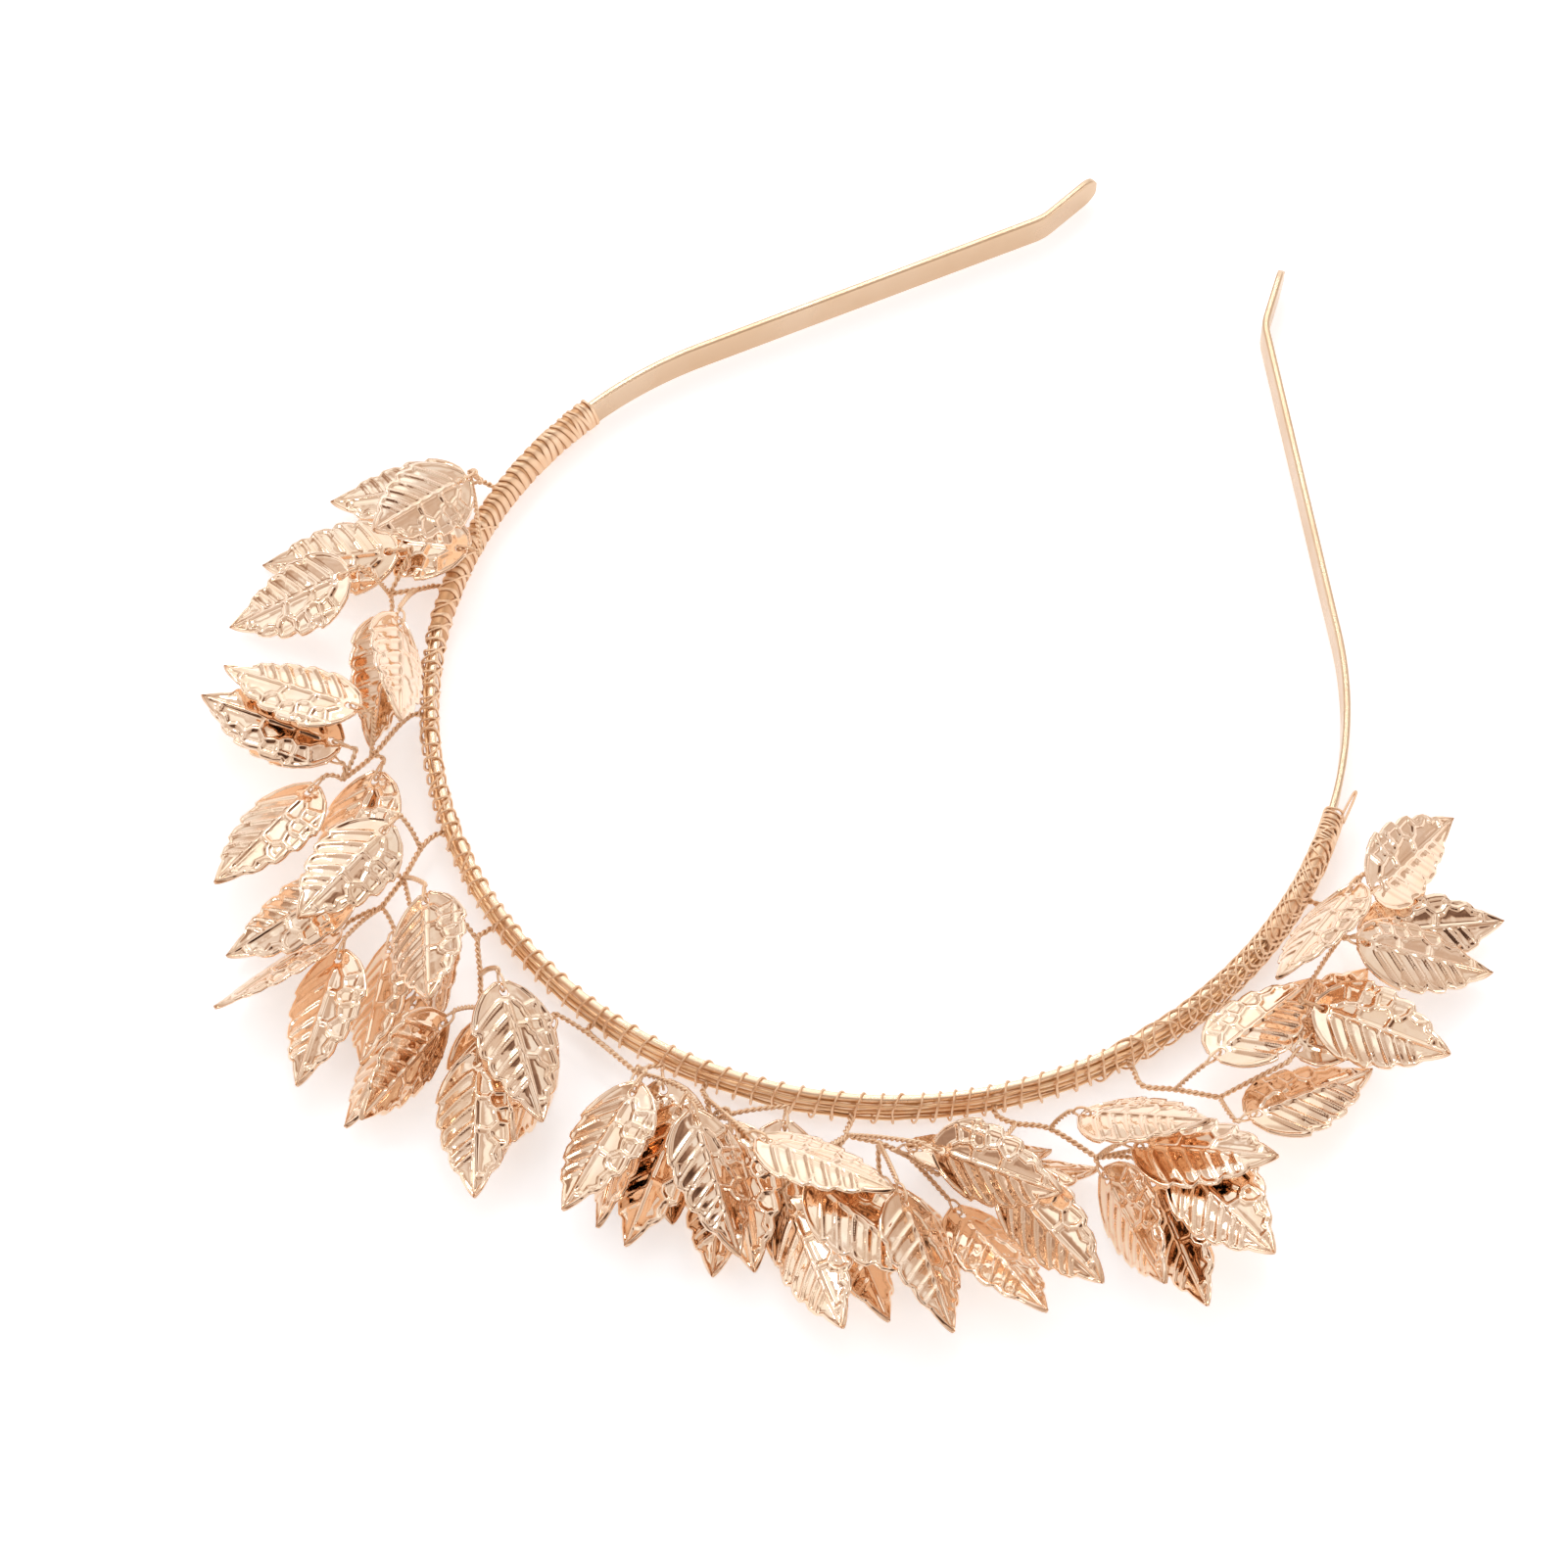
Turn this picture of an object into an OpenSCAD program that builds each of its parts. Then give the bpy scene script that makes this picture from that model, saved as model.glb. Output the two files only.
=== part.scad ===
// Leaf crown: a headband of spring steel strip with stamped metal leaves on
// twisted wire sprigs, lying on a table on the lower edge of its wire binding.
// Millimetres. The origin is the centre of the head arc on the table, +Z is up,
// the crown's open end points along +Y and its front along -Y.

/* [Strip] */
// radius of the head arc, at the middle of the strip
arc_r = 60.8; // [60.3:0.1:61.2]
// width of the strip, which stands upright as the crown lies
strip_w = 5; // [4.6:0.1:5]
// thickness of the strip
strip_t = 1; // [0.8:0.05:1]
// angle on the arc where the left leg leaves it
left_leave = 144.5; // [142:0.5:147]
// angle on the arc where the right leg leaves it
right_leave = 38.5; // [36:0.5:41]
// length of the straight left leg, up to its bent tip
left_leg = 52.5; // [48:0.5:56]
// length of the straight right leg, up to its bent tip
right_leg = 50.5; // [48:0.5:56]
// outward bend of the left tip
left_bend = 20; // [12:1:30]
// outward bend of the right tip
right_bend = 25; // [12:1:30]
// length of each bent tip
tip_len = 10.5; // [8:0.5:12]

/* [Binding] */
// angle on the arc where the binding starts, on the left
bind_left = 161.5; // [155:0.5:165]
// angle on the arc where the binding ends, on the right
bind_right = 12.5; // [8:0.5:18]
// thickness of one layer of wound wire
bind_wall = 0.42; // [0.4:0.01:0.42]
// diameter of the three core wires laid along the strip
core_d = 0.54; // [0.4:0.02:0.56]

/* [Leaves] */
// length of a leaf from its hole to its tip
leaf_len = 18.5; // [17.5:0.1:18.6]
// half the width of a leaf at its widest tooth
leaf_half = 5.6; // [5:0.1:5.7]
// thickness of the sheet metal
leaf_t = 0.25; // [0.18:0.01:0.26]
// how far the margins are turned down below the midrib
leaf_cup = 0.9; // [0.6:0.05:0.95]
// how far the tip curls below the line of the midrib
leaf_curl = 0.5; // [0.3:0.05:0.6]

/* [Stems] */
// radius of a sprig's main twisted stem
stem_r = 0.42; // [0.36:0.01:0.44]
// radius of the twisted twig of one leaf
twig_r = 0.32; // [0.26:0.01:0.34]
// radius of the single wire that ties the leaf through its hole
tie_r = 0.2; // [0.15:0.01:0.2]

/* [Hidden] */
$fn = 120;
sleeve_gap = 0.08;
strip_z = bind_wall + sleeve_gap;
core_r = arc_r + strip_t / 2 + sleeve_gap + core_d / 2;
sleeve_in = arc_r - strip_t / 2 - sleeve_gap;
sleeve_out = core_r + core_d / 2 + sleeve_gap;
root_r = sleeve_out + bind_wall + 0.12;
root_z = 3;

// One row for each main stem. sprig: number of the sprig, 1 at the left end of
// the binding. at: angle on the arc where it leaves the binding. knots: where
// it bends or forks, x y z.
stems = [
  // sprig, at, knots
  [1, 178, [[-64.5, 1.5, 4.5], [-66, 1, 6]]],
  [2, 194, [[-62.8, -17.8, 4.5], [-65.6, -20.2, 4.5]]],
  [3, 212.5, [[-54, -37, 3.6], [-54.5, -42.5, 3.6], [-55.8, -47.5, 4]]],
  [4, 229.5, [[-41.5, -51, 3.6], [-41, -56, 4], [-41.3, -61, 3.6]]],
  [5, 244, [[-28, -58.8, 3.4], [-25, -63, 3.4], [-22.5, -67, 3.2]]],
  [6, 262, [[-4.5, -64.3, 4], [0, -65.5, 4.5]]],
  [7, 277.5, [[9.5, -64, 4], [11.5, -66.5, 4.5]]],
  [8, 295, [[27.6, -59.5, 4], [31.5, -58.4, 3.8], [35.5, -58, 3.4]]],
  [9, 312, [[45.3, -47.4, 4], [49.4, -45.8, 3.8], [56.5, -46.4, 3.8]]],
  [10, 329, [[56.8, -34.6, 4], [60.6, -33, 4], [66, -31.2, 4]]],
  [11, 0.5, [[66, 0.5, 4], [69, -1, 4]]]
];

// One row for each leaf. sprig and knot: where its twig starts, 0 being the
// first knot. x y z: the leaf's hole. heading: the way it points, seen from
// above. pitch: tip up. roll: left side up.
leaves = [
  // sprig, knot, x, y, z, heading, pitch, roll
  [1, 1, -64.5, -3, 10.5, -100, 25, -20],
  [1, 1, -65.5, -2.5, 8, -152, -16, 0],
  [1, 1, -60, -11, 8, -171, -19, 0],
  [2, 1, -68.5, -15.5, 6.5, -154, -17, -10],
  [2, 1, -70, -24.5, 11.5, -142, -31, -10],
  [2, 1, -62.5, -25, 5.5, -65, -1, -50],
  [2, 0, -59, -27, 12, -56, 15, -55],
  [3, 1, -58, -41, 12, -172, -4, 15],
  [3, 2, -58.5, -45, 8, -168, 8, 0],
  [3, 2, -59.5, -46, 5, 180, -7, 30],
  [3, 2, -58, -52, 6, -99, 4, 15],
  [3, 1, -52, -45.5, 4.5, -80, 0, 20],
  [4, 0, -45, -53.5, 9.5, -95, 11, -10],
  [4, 1, -45.5, -62, 8.5, -122, -15, 10],
  [4, 2, -44.5, -68, 5, -112, 4, 50],
  [4, 2, -41, -71.5, 7, -75, -3, 25],
  [4, 1, -34.5, -60.5, 11, -56, 19, 25],
  [4, 2, -37, -66, 4.5, -69, 8, 40],
  [5, 0, -31, -61.5, 7, -70, -7, 65],
  [4, 1, -29.5, -72, 6, -87, -7, 40],
  [5, 2, -23.5, -74, 9, -91, 13, -65],
  [5, 2, -17.5, -75.5, 7.5, -60, -4, 10],
  [5, 2, -20.5, -69, 3.5, -53, -5, 0],
  [5, 1, -18.5, -67, 12, -43, -6, -15],
  [6, 0, -12.5, -66, 4.5, -72, 13, -60],
  [6, 1, 3, -71, 12, -88, -1, 20],
  [6, 1, 1.5, -69, 7, -74, -9, 50],
  [6, 1, 8.5, -69.5, 8.5, -81, -9, 20],
  [6, 1, 4, -65.5, 4, -56, -4, 5],
  [7, 1, 12, -70.5, 12, -42, -10, -25],
  [7, 1, 15, -67.5, 3, -67, -1, 15],
  [7, 1, 15.5, -68, 7.5, -51, -9, 20],
  [7, 1, 20.5, -63, 4.5, -62, -5, -15],
  [7, 0, 21, -68.5, 12, 2, 11, -30],
  [8, 0, 27, -73, 6.5, -40, 6, 35],
  [8, 0, 30.5, -68, 5, -38, -1, -30],
  [8, 0, 29.5, -70.5, 11.5, -10, -2, 0],
  [8, 1, 40, -67, 11.5, -41, -2, -35],
  [8, 1, 36, -63, 3, -32, 16, -30],
  [8, 2, 37, -58.5, 8, 39, -18, -35],
  [8, 0, 40.5, -59, 12, -2, 21, 50],
  [8, 2, 45.5, -62, 4.5, -25, 11, -25],
  [9, 0, 49.5, -58.5, 11, -21, 4, 45],
  [8, 2, 43, -58, 6.5, 39, -13, -35],
  [9, 1, 54, -44.5, 11, 7, 34, -25],
  [9, 2, 62, -45.5, 11.5, 13, 24, -5],
  [9, 2, 67.5, -45.5, 12, -24, 15, 20],
  [9, 2, 63.5, -38.5, 3, -22, 16, 15],
  [9, 2, 64.5, -47, 6.5, -41, 2, 45],
  [9, 2, 59, -49, 5, -39, 15, 60],
  [10, 1, 64, -28, 9.5, 75, -12, -10],
  [10, 2, 72, -21, 6.5, 85, -17, 15],
  [10, 2, 71.5, -32, 6.5, 59, -14, -10],
  [11, 1, 72, -15, 7.5, -1, 16, 25],
  [11, 1, 71, 2, 12, 80, -18, 40],
  [11, 1, 72, -1.5, 5.5, 40, -6, 15],
  [11, 1, 73, -5, 10, 28, -22, -5],
  [11, 0, 68, 0, 12, -96, 11, 45]
];

// Margin of a leaf from its base to its tip, teeth and notches in turn.
// along: distance from the hole, as a share of leaf_len. half: half the width,
// as a share of leaf_half.
margin = [
  // along, half
  [-0.07, 0.2], [0, 0.56], [0.12, 0.84], [0.27, 1], [0.3, 0.91], [0.45, 0.95],
  [0.48, 0.83], [0.62, 0.79], [0.65, 0.66], [0.79, 0.5], [0.81, 0.38]
];
rows = len(margin);
hole_a = 0.75;
hole_b = 0.55;

function unit(v) = v / norm(v);
function flat(l) = [for (a = l) for (b = a) b];
function sum_to(l, i) = i <= 0 ? 0 : l[i - 1] + sum_to(l, i - 1);

// many closed shells, each [points, faces], as one list of points and faces
function merged(shells) = let (
    counts = [for (s = shells) len(s[0])],
    starts = [for (i = [0 : len(shells) - 1]) sum_to(counts, i)])
  [flat([for (s = shells) s[0]]),
   flat([for (i = [0 : len(shells) - 1]) [for (f = shells[i][1]) [for (k = f) k + starts[i]]]])];

// the three directions of a leaf: along it, to its left and out of its face
function axes(h, p, r) = let (
    ex = [cos(h) * cos(p), sin(h) * cos(p), sin(p)],
    ey = [-sin(h), cos(h), 0],
    ez = cross(ex, ey))
  [ex, ey * cos(r) + ez * sin(r), ez * cos(r) - ey * sin(r)];
function placed(leaf, q) = let (a = axes(leaf[5], leaf[6], leaf[7]))
  [leaf[2], leaf[3], leaf[4]] + a[0] * q[0] + a[1] * q[1] + a[2] * q[2];

// height of the face at x along and y across, before it is placed
function face_z(x, y) = -leaf_curl * pow(max(0, x / leaf_len - 0.2) / 0.8, 2)
  - leaf_cup * abs(y) / leaf_half;

// points of one side of the sheet: left margin, right margin, midrib, then the
// two sides of the hole and the tip
function side_points(dz) = let (
    m = [for (s = margin) [s[0] * leaf_len, s[1] * leaf_half]],
    all = concat(
      [for (s = m) [s[0], s[1]]],
      [for (s = m) [s[0], -s[1]]],
      [for (i = [0 : rows - 1]) [i == 1 ? -hole_a : i == 2 ? hole_a : m[i][0], 0]],
      [[0, hole_b], [0, -hole_b], [leaf_len, 0]]))
  [for (q = all) [q[0], q[1], face_z(q[0], q[1]) + dz]];

// faces of the upper side; the lower side has the same ones turned over
function upper_faces() = let (
    L = 0, R = rows, M = 2 * rows, hl = 3 * rows, hr = hl + 1, tip = hl + 2)
  concat(
    [[L, M, L + 1], [M, M + 1, L + 1], [R, R + 1, M], [M, R + 1, M + 1],
     [L + 1, M + 1, hl], [L + 1, hl, L + 2], [hl, M + 2, L + 2],
     [R + 1, hr, M + 1], [R + 1, R + 2, hr], [hr, R + 2, M + 2]],
    flat([for (i = [2 : rows - 2]) [
      [L + i, M + i, L + i + 1], [M + i, M + i + 1, L + i + 1],
      [R + i, R + i + 1, M + i], [M + i, R + i + 1, M + i + 1]]]),
    [[L + rows - 1, M + rows - 1, tip], [R + rows - 1, tip, M + rows - 1]]);

// closed shell of one leaf
function leaf_shell(leaf) = let (
    n = 3 * rows + 3,
    up = upper_faces(),
    tip = n - 1,
    rim = concat([for (i = [0 : rows - 1]) i], [tip],
                 [for (i = [rows - 1 : -1 : 0]) rows + i], [2 * rows]),
    hole = [2 * rows + 1, 3 * rows, 2 * rows + 2, 3 * rows + 1],
    walls = concat(
      flat([for (i = [0 : len(rim) - 1]) let (a = rim[i], b = rim[(i + 1) % len(rim)])
        [[a, b, b + n], [a, b + n, a + n]]]),
      flat([for (i = [0 : 3]) let (a = hole[i], b = hole[(i + 1) % 4])
        [[b, a, a + n], [b, a + n, b + n]]])),
    faces = concat([for (f = up) [f[0], f[2], f[1]]], [for (f = up) f + [n, n, n]],
                   [for (f = walls) [f[0], f[2], f[1]]]))
  [[for (q = concat(side_points(0), side_points(-leaf_t))) placed(leaf, q)], faces];

// ring directions along a path, each carried on from the one before
function carried(t, i, s) = i == len(t) ? [] :
  let (n = unit(s - (s * t[i]) * t[i])) concat([n], carried(t, i + 1, n));

// closed tube of five sides along a path, with a radius at each point
function tube_shell(path, radius, start) = let (
    n = len(path),
    k = 5,
    t = [for (i = [0 : n - 1]) unit(
      (i < n - 1 ? unit(path[i + 1] - path[i]) : [0, 0, 0]) +
      (i > 0 ? unit(path[i] - path[i - 1]) : [0, 0, 0]))],
    s = carried(t, 0, start),
    pts = [for (i = [0 : n - 1]) for (j = [0 : k - 1]) let (u = cross(t[i], s[i]))
      path[i] + radius[i] * (cos(72 * j) * s[i] + sin(72 * j) * u)],
    sides = [for (i = [0 : n - 2]) for (j = [0 : k - 1]) let (
        a = i * k + j, b = i * k + (j + 1) % k)
      [a, b + k, b]],
    more = [for (i = [0 : n - 2]) for (j = [0 : k - 1]) let (
        a = i * k + j, b = i * k + (j + 1) % k)
      [a, a + k, b + k]],
    caps = concat([for (j = [1 : k - 2]) [0, j, j + 1]],
                  [for (j = [1 : k - 2]) [(n - 1) * k, (n - 1) * k + j + 1, (n - 1) * k + j]]))
  [pts, concat(sides, more, caps)];

// tie of a leaf, from its loop through the hole back to the twig's end
tie = [
  // along, up, radius as a share of tie_r
  [-0.35, -0.62, 1], [0.05, -0.05, 1], [-0.3, 0.5, 1], [-1.3, 0.5, 1.1]
];

function stem_of(n) = [for (s = stems) if (s[0] == n) s][0];
function root_of(s, out) = [(root_r + out) * cos(s[1]), (root_r + out) * sin(s[1]), root_z];

// the twig of one leaf, from the loop through its hole to its knot
function twig_shell(leaf) = let (
    knot = stem_of(leaf[0])[2][leaf[1]],
    near = placed(leaf, [-2.2, 0, -0.1]),
    path = concat([for (q = tie) placed(leaf, [q[0], 0, q[1]])], [near, knot]),
    radius = concat([for (q = tie) q[2] * tie_r], [twig_r, twig_r]))
  tube_shell(path, radius, axes(leaf[5], leaf[6], leaf[7])[1]);

// the main stem leaves the binding square to it, then runs through its knots
function stem_shell(s) = let (path = concat([root_of(s, 0), root_of(s, 0.9)], s[2]))
  tube_shell(path, [for (p = path) stem_r], [0, 0, 1]);

// outline of the strip seen from above: points at a distance d from its middle
// line, from the left tip round the arc to the right tip
function strip_line(d) = let (
    r = arc_r + d,
    la = left_leave, ra = right_leave + 360,
    ldir = [cos(la - 90), sin(la - 90)], rdir = [cos(ra + 90), sin(ra + 90)],
    l0 = arc_r * [cos(la), sin(la)], r0 = arc_r * [cos(ra), sin(ra)],
    l1 = l0 + left_leg * ldir, r1 = r0 + right_leg * rdir,
    lb = la - 90 + left_bend, rb = ra + 90 - right_bend,
    l2 = l1 + tip_len * [cos(lb), sin(lb)], r2 = r1 + tip_len * [cos(rb), sin(rb)],
    lm = la + left_bend / 2, rm = ra - right_bend / 2)
  concat(
    [l2 + d * [cos(lb + 90), sin(lb + 90)]],
    [l1 + d / cos(left_bend / 2) * [cos(lm), sin(lm)]],
    [for (i = [0 : 128]) let (a = la + (ra - la) * i / 128) r * [cos(a), sin(a)]],
    [r1 + d / cos(right_bend / 2) * [cos(rm), sin(rm)]],
    [r2 + d * [cos(rb - 90), sin(rb - 90)]]);
function reversed(l) = [for (i = [len(l) - 1 : -1 : 0]) l[i]];

// cutter that rounds one end of the strip, placed at the end p, pointing to h
module end_round(p, h) {
  r = strip_w / 2 + 0.1;
  translate([p[0], p[1], strip_z + strip_w / 2]) rotate([0, 0, h]) rotate([90, 0, 0])
    translate([0, 0, -strip_t]) difference() {
      translate([-r, -strip_w, 0]) cube([2 * r, 2 * strip_w, 2 * strip_t]);
      translate([-r, 0, -1]) cylinder(r = r, h = 2 * strip_t + 2);
    }
}

// spring steel strip bent to the head
module headband() {
  mid = strip_line(0);
  n = len(mid);
  color([0.86, 0.7, 0.56]) difference() {
    translate([0, 0, strip_z]) linear_extrude(strip_w)
      polygon(concat(strip_line(strip_t / 2), reversed(strip_line(-strip_t / 2))));
    end_round(mid[0], left_leave - 90 + left_bend);
    end_round(mid[n - 1], right_leave + 90 - right_bend);
  }
}

// layer of wire wound round the strip and the core wires
module wire_binding() {
  span = bind_right + 360 - bind_left;
  top = strip_z + strip_w + sleeve_gap;
  color([0.8, 0.55, 0.34]) difference() {
    rotate([0, 0, bind_left]) rotate_extrude(angle = span)
      translate([sleeve_in - bind_wall, 0])
        square([sleeve_out - sleeve_in + 2 * bind_wall, top + bind_wall]);
    rotate([0, 0, bind_left - 1]) rotate_extrude(angle = span + 2)
      translate([sleeve_in, bind_wall]) square([sleeve_out - sleeve_in, top - bind_wall]);
  }
}

// three wires laid along the outside of the strip under the binding
module core_wires() {
  span = bind_right + 360 - bind_left;
  color([0.85, 0.6, 0.4]) for (z = [1.6, 3, 4.4])
    rotate([0, 0, bind_left + 0.5]) rotate_extrude(angle = span - 1)
      translate([core_r, z]) circle(d = core_d, $fn = 24);
}

// leaves of one sprig, each a separate sheet
module leaves_of(n) {
  s = merged([for (l = leaves) if (l[0] == n) leaf_shell(l)]);
  color([0.93, 0.74, 0.56]) polyhedron(points = s[0], faces = s[1], convexity = 6);
}

// wire of one sprig: the main stem and the twigs twisted into it
module wire_of(n) {
  color([0.82, 0.58, 0.38]) union() {
    s = stem_shell(stem_of(n));
    polyhedron(points = s[0], faces = s[1], convexity = 4);
    for (l = leaves) if (l[0] == n) {
      t = twig_shell(l);
      polyhedron(points = t[0], faces = t[1], convexity = 4);
    }
  }
}

headband();
wire_binding();
core_wires();
leaves_of(1);  // leaves_1
leaves_of(2);  // leaves_2
leaves_of(3);  // leaves_3
leaves_of(4);  // leaves_4
leaves_of(5);  // leaves_5
leaves_of(6);  // leaves_6
leaves_of(7);  // leaves_7
leaves_of(8);  // leaves_8
leaves_of(9);  // leaves_9
leaves_of(10);  // leaves_10
leaves_of(11);  // leaves_11
wire_of(1);  // sprig_wire_1
wire_of(2);  // sprig_wire_2
wire_of(3);  // sprig_wire_3
wire_of(4);  // sprig_wire_4
wire_of(5);  // sprig_wire_5
wire_of(6);  // sprig_wire_6
wire_of(7);  // sprig_wire_7
wire_of(8);  // sprig_wire_8
wire_of(9);  // sprig_wire_9
wire_of(10);  // sprig_wire_10
wire_of(11);  // sprig_wire_11
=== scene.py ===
import bpy
import numpy as np
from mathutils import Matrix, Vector


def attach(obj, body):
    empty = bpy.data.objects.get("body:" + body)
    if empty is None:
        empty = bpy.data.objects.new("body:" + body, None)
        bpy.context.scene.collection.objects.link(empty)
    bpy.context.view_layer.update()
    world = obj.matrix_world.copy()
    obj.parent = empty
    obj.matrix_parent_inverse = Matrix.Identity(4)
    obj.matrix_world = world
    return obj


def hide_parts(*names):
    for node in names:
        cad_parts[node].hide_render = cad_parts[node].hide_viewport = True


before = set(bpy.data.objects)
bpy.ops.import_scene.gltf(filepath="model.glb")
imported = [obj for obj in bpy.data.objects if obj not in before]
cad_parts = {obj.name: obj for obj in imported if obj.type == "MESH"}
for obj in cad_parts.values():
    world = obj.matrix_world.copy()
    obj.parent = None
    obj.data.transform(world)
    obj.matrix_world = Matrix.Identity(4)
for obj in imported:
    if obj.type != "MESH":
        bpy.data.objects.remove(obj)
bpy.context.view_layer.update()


# The camera stands in front of the crown and to its right, 60 degrees up, as in
# the photograph, and takes in the whole crown on the bare table.
LENS_MM, SENSOR_MM, DISTANCE = 121.2, 36.0, 0.70
LOOK_AT = Vector((-0.00624, -0.0170, 0.0))
ELEVATION, AZIMUTH = np.radians(60.0), np.radians(30.0)
towards_camera = Vector((
    np.cos(ELEVATION) * np.sin(AZIMUTH), -np.cos(ELEVATION) * np.cos(AZIMUTH), np.sin(ELEVATION)))
camera_data = bpy.data.cameras.new("camera")
camera_data.lens = LENS_MM
camera_data.sensor_width = SENSOR_MM
camera_data.clip_start = 0.01
camera = bpy.data.objects.new("camera", camera_data)
camera.location = LOOK_AT + DISTANCE * towards_camera
camera.rotation_euler = (-towards_camera).to_track_quat("-Z", "Y").to_euler()
bpy.context.scene.collection.objects.link(camera)
bpy.context.scene.camera = camera


# Spring steel strip on edge: a round head arc, two straight legs, and rounded tips
# bent outwards. It is rose gold plated and satin, with fine lines along it from the
# rolling. Where the binding covers it, a lighter gold is painted on as painted light in
# the gaps between the wires. Millimetres and degrees.
ARC_R, STRIP_W, STRIP_T, STRIP_Z = 60.8, 5.0, 1.0, 0.5  # STRIP_Z: its lower edge
LEAVE, LEG, BEND, TIP = (144.5, 38.5), (52.5, 50.5), (20.0, 25.0), 10.5  # left, right
EDGE_R, KNEE = 0.34, 1.4  # rounding of its edges, and reach of the bend at each tip
BOUND = (161.5, 372.5)  # where the binding starts and ends


def rose_gold_plating():
    """Shader group for all the plating: two tones of gold wander into each other in soft
    patches, and a mask mixes in a third colour: painted shade with copper tone on the leaves
    and the wire, painted light on the strip under the binding. It also gives a mask of the dull
    patches."""
    group = bpy.data.node_groups.new("rose_gold_plating", "ShaderNodeTree")
    face = group.interface
    for name, kind, start in (
            ("Vector", "NodeSocketVector", None), ("Bright", "NodeSocketColor", (1, 1, 1, 1)),
            ("Warm", "NodeSocketColor", (1, 1, 1, 1)), ("Painted Light Colour", "NodeSocketColor", (1, 1, 1, 1)),
            ("Painted Light Mix", "NodeSocketFloat", 0.0), ("Patch Scale", "NodeSocketFloat", 100.0)):
        socket = face.new_socket(name, in_out="INPUT", socket_type=kind)
        if start is not None:
            socket.default_value = start
    face.new_socket("Color", in_out="OUTPUT", socket_type="NodeSocketColor")
    face.new_socket("Dullness", in_out="OUTPUT", socket_type="NodeSocketFloat")
    n, link = group.nodes, group.links.new
    given, out = n.new("NodeGroupInput"), n.new("NodeGroupOutput")
    patches = n.new("ShaderNodeTexNoise")
    patches.inputs["Detail"].default_value = 3.0
    link(given.outputs["Vector"], patches.inputs["Vector"])
    link(given.outputs["Patch Scale"], patches.inputs["Scale"])
    spread = n.new("ShaderNodeMapRange")
    spread.inputs["From Min"].default_value = 0.35
    spread.inputs["From Max"].default_value = 0.65
    link(patches.outputs["Fac"], spread.inputs["Value"])
    tones = n.new("ShaderNodeMix")
    tones.data_type = "RGBA"
    link(spread.outputs["Result"], tones.inputs["Factor"])
    link(given.outputs["Bright"], tones.inputs["A"])
    link(given.outputs["Warm"], tones.inputs["B"])
    worn = n.new("ShaderNodeMix")
    worn.data_type = "RGBA"
    link(given.outputs["Painted Light Mix"], worn.inputs["Factor"])
    link(tones.outputs["Result"], worn.inputs["A"])
    link(given.outputs["Painted Light Colour"], worn.inputs["B"])
    link(worn.outputs["Result"], out.inputs["Color"])
    link(spread.outputs["Result"], out.inputs["Dullness"])
    return group


plating = rose_gold_plating()


def metal(name, bright, warm, painted_light_colour, roughness, patch_scale):
    """A plated metal: the plating group on Object coordinates, and a roughness that the dull
    patches raise. Returns the material, its nodes, links, the plating node and the shader."""
    material = bpy.data.materials.new(name)
    material.use_nodes = True
    nodes, link = material.node_tree.nodes, material.node_tree.links.new
    shader = nodes["Principled BSDF"]
    shader.inputs["Metallic"].default_value = 1.0
    where = nodes.new("ShaderNodeTexCoord")
    coat = nodes.new("ShaderNodeGroup")
    coat.node_tree = plating
    link(where.outputs["Object"], coat.inputs["Vector"])
    for socket, colour in (("Bright", bright), ("Warm", warm), ("Painted Light Colour", painted_light_colour)):
        coat.inputs[socket].default_value = (*colour, 1.0)
    coat.inputs["Patch Scale"].default_value = patch_scale
    link(coat.outputs["Color"], shader.inputs["Base Color"])
    rough = nodes.new("ShaderNodeMapRange")
    rough.inputs["To Min"].default_value, rough.inputs["To Max"].default_value = roughness
    link(coat.outputs["Dullness"], rough.inputs["Value"])
    link(rough.outputs["Result"], shader.inputs["Roughness"])
    return material, nodes, link, coat, shader


def made_mesh(name, points_mm, quads, triangles, material, values=(), uv_mm=None):
    """A mesh object from whole arrays: points in millimetres, quads, triangles, named values
    for each point, and each point's place on the piece's own map, 10 mm to the unit."""
    mesh = bpy.data.meshes.new(name)
    corners = np.concatenate([quads.ravel(), triangles.ravel()]).astype(np.int32)
    sizes = np.concatenate([np.full(len(quads), 4), np.full(len(triangles), 3)]).astype(np.int32)
    mesh.vertices.add(len(points_mm))
    mesh.vertices.foreach_set("co", (points_mm * 0.001).astype(np.float32).ravel())
    mesh.loops.add(len(corners))
    mesh.loops.foreach_set("vertex_index", corners)
    mesh.polygons.add(len(sizes))
    mesh.polygons.foreach_set("loop_start", (np.cumsum(sizes) - sizes).astype(np.int32))
    for value_name, data in values:
        layer = mesh.attributes.new(value_name, "FLOAT", "POINT")
        layer.data.foreach_set("value", data.astype(np.float32))
    if uv_mm is not None:
        layer = mesh.uv_layers.new(name="along_across")
        layer.data.foreach_set("uv", (uv_mm[corners] * 0.1).astype(np.float32).ravel())
    mesh.polygons.foreach_set("use_smooth", np.ones(len(sizes), bool))
    mesh.update(calc_edges=True)
    mesh.validate()
    mesh.materials.append(material)
    piece = bpy.data.objects.new(name, mesh)
    bpy.context.scene.collection.objects.link(piece)
    return piece


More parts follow.
